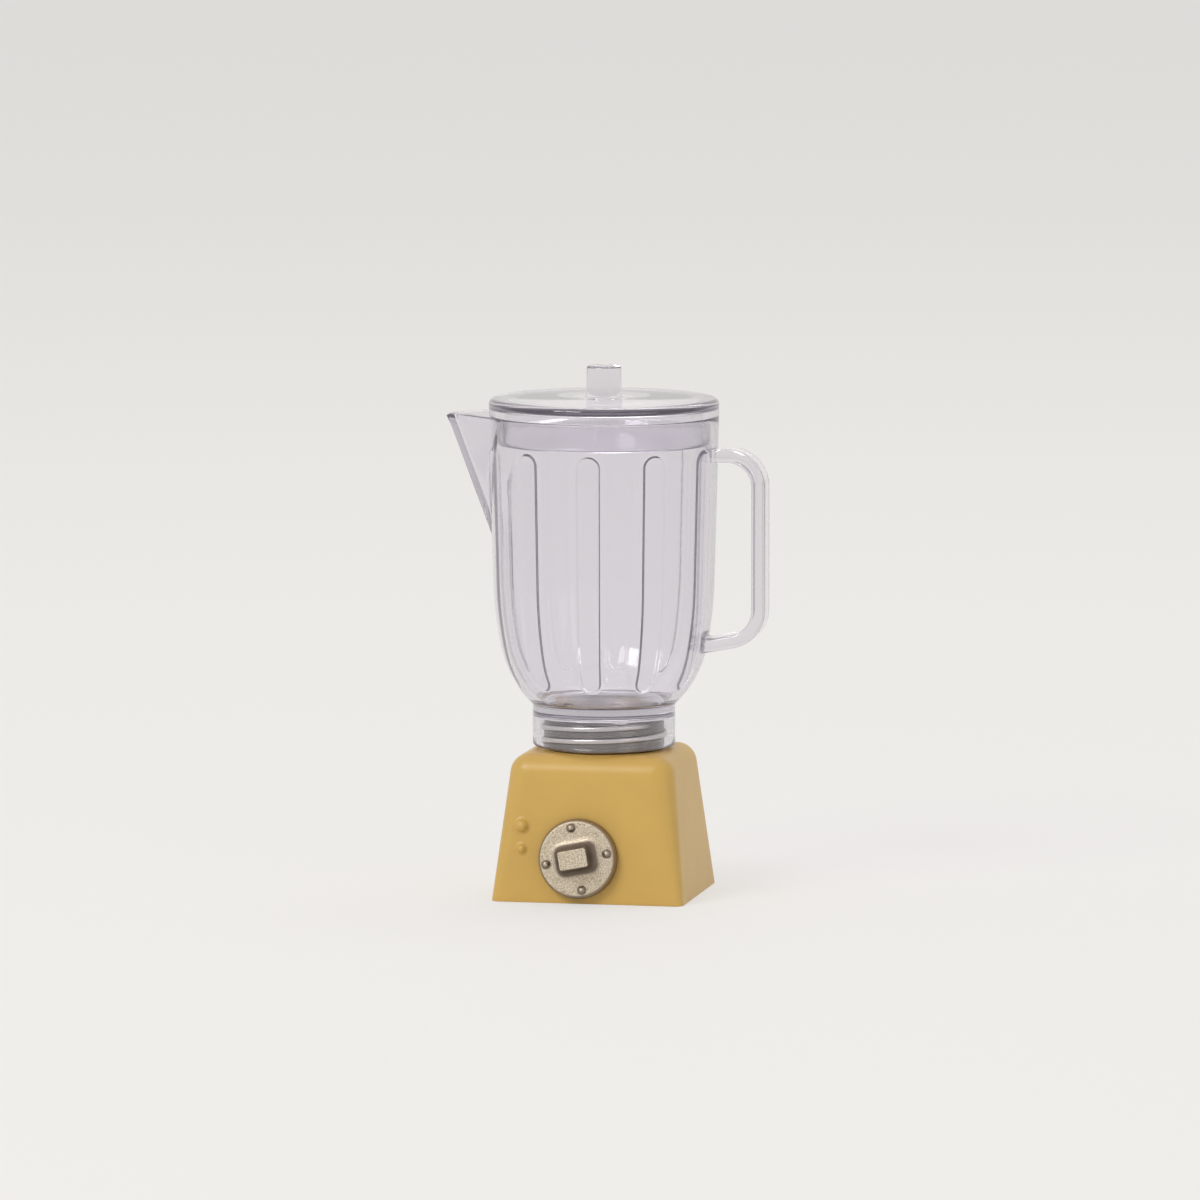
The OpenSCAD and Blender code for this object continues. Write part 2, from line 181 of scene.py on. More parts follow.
# Columns of the jug's mesh, whose pitch divides the flutes' half angle, so that the edges run along columns,
# and how many of them a flute's edge rises over
JUG_COLUMNS = 480
EDGE_COLUMNS = 2
# Spacing of the mesh's rows: outside, inside, and inside near the flutes' ends
OUTER_ROW = 0.8
INNER_ROW = 0.7
FINE_ROW = 0.16
FINE_MARGIN = 0.2
# Spout: half angle of its rounded tip in degrees, seen from above, and how far the wall may be blended into
# it, to each side in radians and below its foot in millimetres
SPOUT_REACH = 19.8
SPOUT_H = 16
SPOUT_WALL = 1.1
SPOUT_ROOT_R = 13.65
SPOUT_TIP_R = 0.8
SPOUT_TIP_ANGLE = 1.1
SPOUT_SIDE = 1
SPOUT_BELOW = 2
SPOUT_BLEND = 0.5
# The spout's lip falls a little over its last stretch, so that its tip is rounded from the side too
LIP_REACH = 1
LIP_DROP = 0.45
LIP_DEPTH = 3

# Handle
HANDLE_X = 19.5
HANDLE_W = 4.4
HANDLE_T = 1.6
HANDLE_EDGE = 0.35
HANDLE_BEND_R = 3.85
HANDLE_TOP_Z = 36
HANDLE_ROOT_Z = 12.5
HANDLE_RISE = 11
# How far each arm runs into the wall, and the web on the lower arm's upper side where it meets the wall
HANDLE_SINK = 0.35
HANDLE_WEB = 1.1
WEB_STEPS = 6

# Lid and knob
lid_low, lid_high = extent("lid")
RIM_Z = JUG_Z + JUG_H
FLANGE_T = lid_high.z - RIM_Z
FLANGE_EDGE = 0.7
PLUG_H = RIM_Z - lid_low.z
FLANGE_FOOT_EDGE = 0.12
PLUG_R = 13.01
PLUG_WALL = 0.9
PLUG_EDGE = 0.25
HOLLOW_FILLET = 0.3
PLATE_T = 1.1
SEAT_GAP = 0.03
KNOB_R = 2.2
KNOB_H = 4
KNOB_EDGE = 0.35
KNOB_FOOT_EDGE = 0.15
KNOB_DRAFT = 0.1
SPIGOT_R = 1.1

# The photograph's camera: turn and rise in degrees, and distance, lens, film and aim in millimetres
CAMERA_TURN = 11.5
CAMERA_RISE = 6.6
CAMERA_AWAY = 1250
CAMERA_LENS = 306
CAMERA_FILM = 36
AIM_Z = 36.1
AIM_LEFT = 0.49

# Nearest and furthest that the camera sees, in metres, and how far the floor reaches to each side
SIGHT = (0.1, 60)
FLOOR_REACH = 8

# Background colour, the share of it that the floor shows whatever light falls there, and the world's light
BACKDROP = "#F1EFEC"
FLOOR_GLOW = 0.6
SKY_LIGHT = 0.5
# Lamps: place in metres, width and height in metres, and power in watts
LAMPS = {"key": ((-0.45, -0.75, 0.75), 0.5, 0.4, 4.8),
         "fill": ((0.8, -0.6, 0.35), 0.5, 0.5, 0.5),
         "top": ((0.1, 0.35, 0.9), 0.6, 0.4, 2.2)}
LAMP_AIM = (0, 0, 0.03)


def srgb(code):
    """Linear colour of an sRGB hex code."""
    shares = [int(code[i:i + 2], 16) / 255 for i in (1, 3, 5)]
    return [s / 12.92 if s <= 0.04045 else ((s + 0.055) / 1.055) ** 2.4 for s in shares] + [1]


def add(tree, kind, inputs=None, **settings):
    """Adds a node. An input is set to a value, or linked where it is given another node's socket."""
    node = tree.nodes.new("ShaderNode" + kind)
    for name, value in settings.items():
        setattr(node, name, value)
    for name, value in (inputs or {}).items():
        if isinstance(value, bpy.types.NodeSocket):
            tree.links.new(value, node.inputs[name])
        else:
            node.inputs[name].default_value = value
    return node


def material(name):
    """A new node material with nothing in it but its output."""
    made = bpy.data.materials.new(name)
    made.use_nodes = True
    made.node_tree.nodes.clear()
    return made, made.node_tree, add(made.node_tree, "OutputMaterial")


def satin_enamel():
    """Stoved satin enamel on cast zinc: warm yellow, a faint orange peel and a soft clear top."""
    made, tree, out = material("satin_enamel")
    where = add(tree, "TexCoord").outputs["Object"]
    cloud = add(tree, "TexNoise", {"Vector": where, "Scale": 1 / (6 * MM), "Detail": 3})
    colour = add(tree, "MapRange", {"Value": cloud.outputs["Fac"], "From Min": 0.3, "From Max": 0.7})
    tint = add(tree, "Mix", {"Factor": colour.outputs["Result"], "A": srgb("#D3AB55"), "B": srgb("#CDA653")},
               data_type="RGBA")
    peel = add(tree, "TexNoise", {"Vector": where, "Scale": 1 / (0.45 * MM), "Detail": 2})
    wave = add(tree, "TexNoise", {"Vector": where, "Scale": 1 / (3.5 * MM), "Detail": 1})
    rough = add(tree, "MapRange", {"Value": peel.outputs["Fac"], "To Min": 0.36, "To Max": 0.46})
    slow = add(tree, "Bump", {"Height": wave.outputs["Fac"], "Strength": 0.25, "Distance": 0.1 * MM})
    fine = add(tree, "Bump", {"Height": peel.outputs["Fac"], "Strength": 0.12, "Distance": 0.03 * MM,
                              "Normal": slow.outputs["Normal"]})
    shader = add(tree, "BsdfPrincipled", {
        "Base Color": tint.outputs["Result"], "Roughness": rough.outputs["Result"],
        "Normal": fine.outputs["Normal"], "Coat Weight": 0.15, "Coat Roughness": 0.3})
    tree.links.new(shader.outputs[0], out.inputs["Surface"])
    return made


def cast_silver(name, flank, recess_shade):
    """Silver-finished zinc casting: a sparkling grain on faces that look along the dial's axis, a painted
    dark reflection on the flanks and painted shade in the recesses.
    """
    made, tree, out = material(name)
    coord = add(tree, "TexCoord")
    where = coord.outputs["Object"]
    # The real grain is about half as wide: it is drawn this coarse so that it shows in the render
    speck = add(tree, "TexNoise", {"Vector": where, "Scale": 1 / (0.15 * MM), "Detail": 1})
    patch = add(tree, "TexNoise", {"Vector": where, "Scale": 1 / (2 * MM), "Detail": 2})
    share = add(tree, "MapRange", {"Value": speck.outputs["Fac"], "From Min": 0.35, "From Max": 0.62})
    grain = add(tree, "Mix", {"Factor": share.outputs["Result"], "A": srgb("#AC9D86"), "B": srgb("#D7CBB7")},
                data_type="RGBA")
    # Surfaces that lean away from the dial's axis take the flank colour, a painted dark reflection
    lean = math.radians(SIDE_LEAN)
    level = add(tree, "VectorMath", {0: coord.outputs["Normal"], 1: (0, -math.cos(lean), math.sin(lean))},
                operation="DOT_PRODUCT")
    facing_axis = add(tree, "MapRange", {"Value": level.outputs["Value"], "From Min": 0.85, "From Max": 0.998},
                 interpolation_type="SMOOTHSTEP")
    painted_flank = add(tree, "Mix", {"Factor": facing_axis.outputs["Result"], "A": srgb(flank),
                              "B": grain.outputs["Result"]}, data_type="RGBA")
    # Painted shade: recesses, the beads' feet and the disc round the grip's foot darken with ambient
    # occlusion
    open_share = add(tree, "AmbientOcclusion", {"Distance": 1.2 * MM}, only_local=False, samples=16)
    unshaded = add(tree, "MapRange", {"Value": open_share.outputs["AO"], "From Min": 0.4, "From Max": 0.9})
    tint = add(tree, "Mix", {"Factor": unshaded.outputs["Result"], "A": srgb(recess_shade),
                             "B": painted_flank.outputs["Result"]}, data_type="RGBA")
    rough = add(tree, "MapRange", {"Value": patch.outputs["Fac"], "To Min": 0.42, "To Max": 0.5})
    bump = add(tree, "Bump", {"Height": speck.outputs["Fac"], "Strength": 0.4, "Distance": 0.03 * MM})
    shader = add(tree, "BsdfPrincipled", {
        "Base Color": tint.outputs["Result"], "Metallic": 0.9, "Roughness": rough.outputs["Result"],
        "Normal": bump.outputs["Normal"]})
    tree.links.new(shader.outputs[0], out.inputs["Surface"])
    return made


def turned_zinc():
    """Turned zinc of the neck: fine rings left by the tool, a painted highlight on the thread's crests and
    painted shade in its roots.
    """
    made, tree, out = material("turned_zinc")
    where = add(tree, "TexCoord").outputs["Object"]
    parts = add(tree, "SeparateXYZ", {"Vector": where})
    rings = add(tree, "TexNoise", {"W": parts.outputs["Z"], "Scale": 1 / (0.12 * MM), "Detail": 2},
                noise_dimensions="1D")
    speck = add(tree, "TexNoise", {"Vector": where, "Scale": 1 / (0.2 * MM), "Detail": 2})
    # The roots' dark colour is painted shade, with a random speckle in it
    root_shade = add(tree, "Mix", {"Factor": speck.outputs["Fac"], "A": srgb("#615D59"), "B": srgb("#8E8983")},
               data_type="RGBA")
    # The radius picks out the thread's crests, which are painted bright as a highlight
    flat = add(tree, "VectorMath", {0: where, 1: (1, 1, 0)}, operation="MULTIPLY")
    radius = add(tree, "VectorMath", {0: flat.outputs[0]}, operation="LENGTH")
    crest_highlight = add(tree, "MapRange", {
        "Value": radius.outputs["Value"], "From Min": (NECK_R - 0.7 * THREAD_PROUD) * MM,
        "From Max": (NECK_R - 0.1 * THREAD_PROUD) * MM})
    tint = add(tree, "Mix", {"Factor": crest_highlight.outputs["Result"], "A": root_shade.outputs["Result"],
                             "B": srgb("#DDDAD5")}, data_type="RGBA")
    rough = add(tree, "MapRange", {"Value": rings.outputs["Fac"], "To Min": 0.18, "To Max": 0.36})
    bump = add(tree, "Bump", {"Height": rings.outputs["Fac"], "Strength": 0.3, "Distance": 0.02 * MM})
    shader = add(tree, "BsdfPrincipled", {
        "Base Color": tint.outputs["Result"], "Metallic": 1, "Roughness": rough.outputs["Result"],
        "Normal": bump.outputs["Normal"]})
    tree.links.new(shader.outputs[0], out.inputs["Surface"])
    return made


def plated_steel():
    """Zinc-plated steel of the screws and the clip: even cool grey with a fine tumbled surface."""
    made, tree, out = material("zinc_plated_steel")
    where = add(tree, "TexCoord").outputs["Object"]
    tumble = add(tree, "TexNoise", {"Vector": where, "Scale": 1 / (0.3 * MM), "Detail": 3})
    rough = add(tree, "MapRange", {"Value": tumble.outputs["Fac"], "To Min": 0.28, "To Max": 0.45})
    bump = add(tree, "Bump", {"Height": tumble.outputs["Fac"], "Strength": 0.2, "Distance": 0.02 * MM})
    shader = add(tree, "BsdfPrincipled", {
        "Base Color": srgb("#A9ABAD"), "Metallic": 1, "Roughness": rough.outputs["Result"],
        "Normal": bump.outputs["Normal"]})
    tree.links.new(shader.outputs[0], out.inputs["Surface"])
    return made


def clear_styrene():
    """Injection-moulded clear polystyrene: faintly milky, with a smoky lilac where light goes edgewise."""
    made, tree, out = material("clear_styrene")
    where = add(tree, "TexCoord").outputs["Object"]
    flow = add(tree, "TexNoise", {"Vector": where, "Scale": 1 / (4 * MM), "Detail": 2})
    bump = add(tree, "Bump", {"Height": flow.outputs["Fac"], "Strength": 0.15, "Distance": 0.05 * MM})
    glass = add(tree, "BsdfPrincipled", {
        "Base Color": srgb("#F6F4F8"), "Roughness": 0.03, "IOR": 1.55, "Transmission Weight": 0.985,
        "Normal": bump.outputs["Normal"]})
    # Lamps shine through the thin walls, so that the shadow of the jug stays pale. Light that has been turned
    # back inside a wall several times leaves it dimmed, where the renderer would otherwise drop it as black
    path = add(tree, "LightPath")
    caught = add(tree, "Math", {0: path.outputs["Glossy Depth"], 1: 1.5}, operation="GREATER_THAN")
    passes = add(tree, "Math", {0: path.outputs["Is Shadow Ray"], 1: caught.outputs[0]}, operation="MAXIMUM")
    dim = add(tree, "Mix", {"Factor": path.outputs["Is Shadow Ray"], "A": srgb("#D2CFD6"),
                            "B": srgb("#E9E6EC")}, data_type="RGBA")
    through = add(tree, "BsdfTransparent", {"Color": dim.outputs["Result"]})
    surface = add(tree, "MixShader", {0: passes.outputs[0], 1: glass.outputs[0], 2: through.outputs[0]})
    smoke = add(tree, "VolumeAbsorption", {"Color": srgb("#A9A3AF"), "Density": 50})
    tree.links.new(surface.outputs[0], out.inputs["Surface"])
    tree.links.new(smoke.outputs[0], out.inputs["Volume"])
    return made


ENAMEL = satin_enamel()
# The copies differ in painted light: the grip's flanks get the darkest painted reflection and shade, the
# disc's flank colour is a painted reflection of the yellow base beside it, and the beads get lighter painted
# shade
GRIP_SILVER = cast_silver("cast_silver_grip", "#75685D", "#2E2725")
DISC_SILVER = cast_silver("cast_silver_disc", "#9B8B76", "#594B40")
BEAD_SILVER = cast_silver("cast_silver_beads", "#93877A", "#5A5048")
NECK_SILVER = turned_zinc()
STEEL = plated_steel()
CLEAR = clear_styrene()


def arc(centre, radius, start, end, steps):
    """Points of an arc in a section, its angles in degrees anticlockwise from outwards."""
    turns = [math.radians(start + (end - start) * i / steps) for i in range(steps + 1)]
    return [(centre[0] + radius * math.cos(t), centre[1] + radius * math.sin(t)) for t in turns]


def spun(section, steps=128):
    """A solid of revolution about Z from the points (radius, height) of its section."""
    bm = bmesh.new()
    verts = [bm.verts.new((radius, 0, height)) for radius, height in section]
    edges = [bm.edges.new(pair) for pair in zip(verts, verts[1:])]
    bmesh.ops.spin(bm, geom=verts + edges, cent=(0, 0, 0), axis=(0, 0, 1), angle=2 * math.pi,
                   steps=steps, use_merge=True)
    bmesh.ops.remove_doubles(bm, verts=bm.verts, dist=1e-4)
    bmesh.ops.recalc_face_normals(bm, faces=bm.faces)
    return bm


def finished(name, bm, body, look, place=None, nodes=()):
    """Makes a mesh in millimetres a smooth piece in metres, put in place, that rides on its body."""
    if place:
        bmesh.ops.transform(bm, matrix=place, verts=bm.verts)
    bmesh.ops.scale(bm, vec=(MM, MM, MM), verts=bm.verts)
    for face in bm.faces:
        face.smooth = True
    mesh = bpy.data.meshes.new(name)
    bm.to_mesh(mesh)
    bm.free()
    mesh.materials.append(look)
    piece = bpy.data.objects.new(name, mesh)
    bpy.context.scene.collection.objects.link(piece)
    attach(piece, body)
    if nodes:
        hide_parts(*nodes)
    return piece


def bored(piece, radius, depth, place):
    """Drills a round hole through a piece, along the Z axis of a place."""
    bm = bmesh.new()
    bmesh.ops.create_cone(bm, cap_ends=True, segments=48, radius1=radius, radius2=radius, depth=depth,
                          matrix=place)
    bmesh.ops.scale(bm, vec=(MM, MM, MM), verts=bm.verts)
    mesh = bpy.data.meshes.new("drill")
    bm.to_mesh(mesh)
    bm.free()
    drill = bpy.data.objects.new("drill", mesh)
    bpy.context.scene.collection.objects.link(drill)
    cut = piece.modifiers.new("bore", "BOOLEAN")
    cut.operation = "DIFFERENCE"
    cut.solver = "EXACT"
    cut.object = drill
    seen = piece.evaluated_get(bpy.context.evaluated_depsgraph_get())
    made = bpy.data.meshes.new_from_object(seen)
    piece.modifiers.clear()
    piece.data = made
    bpy.data.objects.remove(drill)


def housing():
    """The base's shell: leaning walls, a hollow below, and upright edges that soften into the shoulder."""
    lean = math.radians(SIDE_LEAN)
    centre_z = BASE_H - SHOULDER_R
    sink = SHOULDER_R / math.cos(lean)
    touch_z = centre_z + SHOULDER_R * math.sin(lean)
    corner_gain = (SHOULDER_R * math.cos(lean) - CORNER_R) / touch_z
    # Each level: height, how far its sides stand in from the foot's, corner radius and pillow. The first two
    # are the hollow's
    levels = [(CAVITY_H, CAVITY_H * math.tan(lean) + BASE_WALL, INNER_CORNER_R, 0),
              (0, BASE_WALL, INNER_CORNER_R, 0)]
    for turn in (0, 30, 60):
        turn = math.radians(turn)
        levels.append((FOOT_EDGE * (1 - math.cos(turn)), FOOT_EDGE * (1 - math.sin(turn)), CORNER_R, 0))
    for share in (FOOT_EDGE / touch_z, FOOT_RING, *[i / WALL_STEPS for i in range(1, WALL_STEPS + 1)]):
        z = share * touch_z
        levels.append((z, z * math.tan(lean), CORNER_R + corner_gain * z, PILLOW * math.sin(math.pi * share)))
    for i in range(1, SHOULDER_STEPS + 1):
        turn = lean + (math.pi / 2 - lean) * i / SHOULDER_STEPS
        reach = SHOULDER_R * math.cos(turn)
        inset = centre_z * math.tan(lean) + sink - reach
        levels.append((centre_z + SHOULDER_R * math.sin(turn), inset, reach, 0))
    levels.append((BASE_H, levels[-1][1] + ROOF_RING, 0, 0))

    bm = bmesh.new()
    core_of = bm.verts.layers.float_vector.new("core")
    away_of = bm.verts.layers.float_vector.new("away")
    bmesh.ops.create_grid(bm, x_segments=1, y_segments=1, size=0.5)
    bmesh.ops.scale(bm, vec=(BASE_W, BASE_D, 1), verts=bm.verts)
    bmesh.ops.bevel(bm, geom=list(bm.verts), offset=CORNER_R, segments=12, profile=0.5, affect="VERTICES",
                    material=-1)
    sides = [e for e in bm.edges if e.calc_length() > BASE_D / 2]
    bmesh.ops.bisect_edges(bm, edges=sides, cuts=FACE_CUTS)
    straight = Vector((BASE_W / 2 - CORNER_R, BASE_D / 2 - CORNER_R, 0))
    for v in bm.verts:
        core = Vector([max(-s, min(s, c)) for s, c in zip(straight, v.co)])
        v[away_of] = (v.co - core).normalized()
        v[core_of] = (core.x / straight.x, core.y / straight.y, 0)
    top = list(bm.faces)
    for number, (z, inset, radius, pillow) in enumerate(levels):
        if number:
            top = bmesh.ops.extrude_discrete_faces(bm, faces=top)["faces"]
        for v in top[0].verts:
            core, away = v[core_of], v[away_of]
            swell = pillow * ((1 - core.x ** 2) * abs(away.y) + (1 - core.y ** 2) * abs(away.x))
            v.co = ((BASE_W / 2 - inset - radius) * core.x + (radius + swell) * away.x,
                    (BASE_D / 2 - inset - radius) * core.y + (radius + swell) * away.y, z)
    bmesh.ops.holes_fill(bm, edges=[e for e in bm.edges if e.is_boundary])
    bmesh.ops.remove_doubles(bm, verts=bm.verts, dist=1e-3)
    bmesh.ops.recalc_face_normals(bm, faces=bm.faces)
    return bm


def dome(radius, flare):
    """A low dome whose foot flares smoothly into the face it stands on, closed below."""
    foot = math.sqrt(radius * radius + 2 * radius * flare)
    touch = math.degrees(math.atan2(flare, foot))
    section = [(0, -flare / 4), (foot, -flare / 4)]
    section += arc((foot, flare), flare, 270, 180 + touch, 8)
    section += arc((0, 0), radius, touch, 90, 12)[1:]
    return spun(section, 48)


def on_front(wall, x, z):
    """Frame of a place on the front wall: Z out of the wall and Y up along it."""
    point = wall.ray_cast(Vector((x, -BASE_D, z)), Vector((0, 1, 0)))[0]
    lean = Matrix.Rotation(math.radians(90 - SIDE_LEAN), 4, "X")
    return Matrix.Translation(point) @ lean


def dial_frame():
    """Frame of the dial: Z along its axis out of the wall, turned as the dial was left."""
    joint = next(j for j in frame["joints"] if j["name"] == "dial_turn")
    lean = Matrix.Rotation(math.radians(90 - SIDE_LEAN), 4, "X")
    turn = Matrix.Rotation(math.radians(DIAL_TURN), 4, "Z")
    return Matrix.Translation(Vector(joint["pos_m"]) / MM) @ lean @ turn


def dial_disc():
    """The dial's disc with its rounded edge, and the shaft with the clip's groove."""
    face = DIAL_GAP + DIAL_T
    rim = DIAL_R - DIAL_EDGE
    section = [(0, -SHAFT_L), (SHAFT_R, -SHAFT_L), (SHAFT_R, GROOVE_Z[0]), (GROOVE_R, GROOVE_Z[0]),
               (GROOVE_R, GROOVE_Z[1]), (SHAFT_R, GROOVE_Z[1]), (SHAFT_R, DIAL_GAP),
               (DIAL_R - DIAL_BACK_EDGE, DIAL_GAP), (DIAL_R, DIAL_GAP + DIAL_BACK_EDGE)]
    deeper = DIAL_EDGE_H / DIAL_EDGE
    section += [(rim + x, face - DIAL_EDGE_H + y * deeper) for x, y in arc((0, 0), DIAL_EDGE, 0, 90, 14)]
    section += [(rim - DIAL_RING, face), (GRIP_D, face), (0, face)]
    return spun(section)


def dial_grip():
    """The grip: a slab with rounded corners whose flanks sweep out into the disc's face."""
    bm = bmesh.new()
    bmesh.ops.create_grid(bm, x_segments=1, y_segments=1, size=0.5)
    bmesh.ops.scale(bm, vec=(GRIP_W, GRIP_D, 1), verts=bm.verts)
    bmesh.ops.bevel(bm, geom=list(bm.verts), offset=GRIP_CORNER, segments=8, profile=0.5,
                    affect="VERTICES", material=-1)
    # Each level: how far it stands out from the grip's face, and its height over the disc
    levels = []
    for i in range(GRIP_STEPS + 1):
        turn = math.radians(90 * i / GRIP_STEPS)
        levels.append((GRIP_FLARE * (1 - math.sin(turn) ** GRIP_SWEEP),
                       GRIP_FLARE_H * (1 - max(0, math.cos(turn)) ** GRIP_SWEEP)))
    levels.append((0, GRIP_H - GRIP_EDGE))
    for i in range(1, GRIP_EDGE_STEPS + 1):
        turn = math.radians(90 * i / GRIP_EDGE_STEPS)
        levels.append((-GRIP_EDGE * (1 - math.cos(turn)), GRIP_H - GRIP_EDGE * (1 - math.sin(turn))))
    top = list(bm.faces)
    for number, (out, height) in enumerate(levels):
        if number:
            top = bmesh.ops.extrude_discrete_faces(bm, faces=top)["faces"]
        for v in top[0].verts:
            core = Vector((math.copysign(GRIP_W / 2 - GRIP_CORNER, v.co.x),
                           math.copysign(GRIP_D / 2 - GRIP_CORNER, v.co.y)))
            away = (v.co.xy - core).normalized()
            reach = GRIP_CORNER + out + GRIP_DRAFT * (1 - height / GRIP_H)
            v.co.x, v.co.y = core + away * reach
            v.co.z = DIAL_GAP + DIAL_T + (height if number else -FOOT_SINK)
    bmesh.ops.inset_individual(bm, faces=top, thickness=GRIP_RING)
    bmesh.ops.recalc_face_normals(bm, faces=bm.faces)
    return bm


def neck_cup():
    """The neck ring without its thread: a cup with a boss for the screw."""
    core = NECK_R - THREAD_PROUD
    top = neck_high.z - neck_low.z
    inner = NECK_R - NECK_WALL
    section = [(NECK_BORE_R, 0), (core - NECK_EDGE, 0), (core, NECK_EDGE), (core, top - NECK_CHAMFER),
               (core - NECK_CHAMFER, top), (inner + NECK_LIP, top), (inner, top - NECK_LIP),
               (inner, NECK_FLOOR + NECK_CHAMFER), (inner - NECK_CHAMFER, NECK_FLOOR),
               (NECK_BOSS_R, NECK_FLOOR), (NECK_BOSS_R, NECK_BOSS_H - NECK_EDGE),
               (NECK_BOSS_R - NECK_EDGE, NECK_BOSS_H), (NECK_BORE_R, NECK_BOSS_H), (NECK_BORE_R, 0)]
    return spun(section, 160)


def neck_thread():
    """The screw thread: a rounded ridge that climbs round the cup and fades out at both ends."""
    bm = bmesh.new()
    core = NECK_R - THREAD_PROUD - THREAD_SINK
    half = THREAD_W / 2
    # The upper flank of the ridge's section, from its foot in the cup to its rounded crest, and its mirror
    flank = [(core, half + 0.12), (NECK_R - 0.12, half - 0.02), (NECK_R - 0.03, half - 0.1),
             (NECK_R, half - 0.2)]
    ridge = [(radius, -height) for radius, height in flank] + flank[::-1]
    verts = [bm.verts.new((radius, 0, height)) for radius, height in ridge]
    edges = [bm.edges.new(pair) for pair in zip(verts, verts[1:] + verts[:1])]
    length = 2 * math.pi * THREAD_TURNS
    bmesh.ops.spin(bm, geom=verts + edges, cent=(0, 0, 0), axis=(0, 0, 1),
                   dvec=(0, 0, THREAD_PITCH / THREAD_STEPS), angle=length,
                   steps=round(THREAD_STEPS * THREAD_TURNS))
    bmesh.ops.holes_fill(bm, edges=[e for e in bm.edges if e.is_boundary])
    fade = math.radians(THREAD_FADE)
    for v in bm.verts:
        angle = math.atan2(v.co.y, v.co.x) % (2 * math.pi)
        turns = round((v.co.z - THREAD_PITCH * angle / (2 * math.pi)) / THREAD_PITCH)
        along = angle + 2 * math.pi * turns
        near_end = max(0, min(1, along / fade, (length - along) / fade))
        radius = v.co.xy.length
        lowered = core + (radius - core) * math.sqrt(near_end)
        v.co.x *= lowered / radius
        v.co.y *= lowered / radius
    bmesh.ops.recalc_face_normals(bm, faces=bm.faces)
    start = Matrix.Rotation(math.radians(THREAD_FROM), 4, "Z")
    return bm, Matrix.Translation((0, 0, neck_low.z + THREAD_Z)) @ start


def jug_section():
    """Centres, leans and lengths of the wall's straight part, slow bend and heel bend."""
    draft, belly = math.radians(JUG_DRAFT), math.radians(BELLY_TURN)
    tall, wide = JUG_H - SKIRT_H, RIM_R - SKIRT_R
    down = tall * math.cos(draft) + wide * math.sin(draft)
    inward = wide * math.cos(draft) - tall * math.sin(draft)
    heel = math.acos(math.cos(belly) - (inward - BELLY_R * (1 - math.cos(belly))) / HEEL_R)
    straight = down - BELLY_R * math.sin(belly) - HEEL_R * (math.sin(heel) - math.sin(belly))
    start = Vector((RIM_R - straight * math.sin(draft), JUG_H - straight * math.cos(draft)))
    belly_centre = start + BELLY_R * Vector((-math.cos(draft), math.sin(draft)))
    bend = draft + belly
    heel_centre = belly_centre + (BELLY_R - HEEL_R) * Vector((math.cos(bend), -math.sin(bend)))
    return straight, belly_centre, heel_centre, draft, bend, draft + heel


WALL_SECTION = jug_section()


def wall_point(inset, along):
    """A point of the wall's section, inset from outside, at a distance down from the rim."""
    straight, belly_centre, heel_centre, draft, bend, _ = WALL_SECTION
    belly_l = BELLY_R * (bend - draft)
    if along <= straight:
        down = Vector((-math.sin(draft), -math.cos(draft)))
        return Vector((RIM_R, JUG_H)) + along * down + inset * Vector((-math.cos(draft), math.sin(draft)))
    if along <= straight + belly_l:
        lean = draft + (along - straight) / BELLY_R
        return belly_centre + (BELLY_R - inset) * Vector((math.cos(lean), -math.sin(lean)))
    lean = bend + (along - straight - belly_l) / HEEL_R
    return heel_centre + (HEEL_R - inset) * Vector((math.cos(lean), -math.sin(lean)))


def wall_length():
    """Length of the wall's section from the rim to the skirt."""
    straight, _, _, draft, bend, last = WALL_SECTION
    return straight + BELLY_R * (bend - draft) + HEEL_R * (last - bend)


def flute_height(angle, radius, height):
    """How far the flutes stand proud at a place of the jug's inner wall."""
    pitch = 2 * math.pi / FLUTES
    half = math.radians(FLUTE_HALF)
    beside = (angle - math.radians(FLUTE_PHASE) + pitch / 2) % pitch - pitch / 2
    end = half * radius
    past = max(FLUTE_FOOT + end - height, height - (JUG_H - FLUTE_DROP - end), 0)
    share = math.hypot(beside / half, past / end)
    if share > 1:
        return 0
    up = min(1, (1 - share) * FLUTE_HALF * JUG_COLUMNS / (360 * EDGE_COLUMNS))
    return FLUTE_STEP * up * up * (3 - 2 * up) + FLUTE_CROWN * (1 - share * share)


def inner_rows():
    """Distances down the inner wall for the mesh's rows, close together at the flutes' rounded ends."""
    end = math.radians(FLUTE_HALF) * RIM_R
    zones = [(FLUTE_FOOT, FLUTE_FOOT + end), (JUG_H - FLUTE_DROP - end, JUG_H - FLUTE_DROP)]
    length = wall_length()
    rows = []
    along = RIM_EDGE
    while along < length:
        height = wall_point(JUG_WALL, along).y
        near = any(low - FINE_MARGIN < height < high + FINE_MARGIN for low, high in zones)
        along += FINE_ROW if near else INNER_ROW
        rows.append(along)
    return rows


def spout_radius(angle, height, inset):
    """Distance from the axis to the spout's flank, for an angle from the spout's middle."""
    reach = SPOUT_REACH - SPOUT_TIP_R
    flank = math.acos((SPOUT_ROOT_R - SPOUT_TIP_R) / reach)
    share = (height - (JUG_H - SPOUT_H)) / SPOUT_H
    foot = RIM_R - SPOUT_H * math.sin(math.radians(JUG_DRAFT))
    tip = math.radians(SPOUT_TIP_ANGLE)
    clear = share * SPOUT_ROOT_R + (1 - share) * foot * math.cos(flank - tip) - inset * SPOUT_WALL / JUG_WALL
    return clear / math.cos(max(0, flank - math.hypot(angle, tip)))


def blended(a, b, width):
    """The larger of two lengths, with a fillet where they are nearly alike."""
    near = max(width - abs(a - b), 0) / width
    return max(a, b) + near * near * width / 4


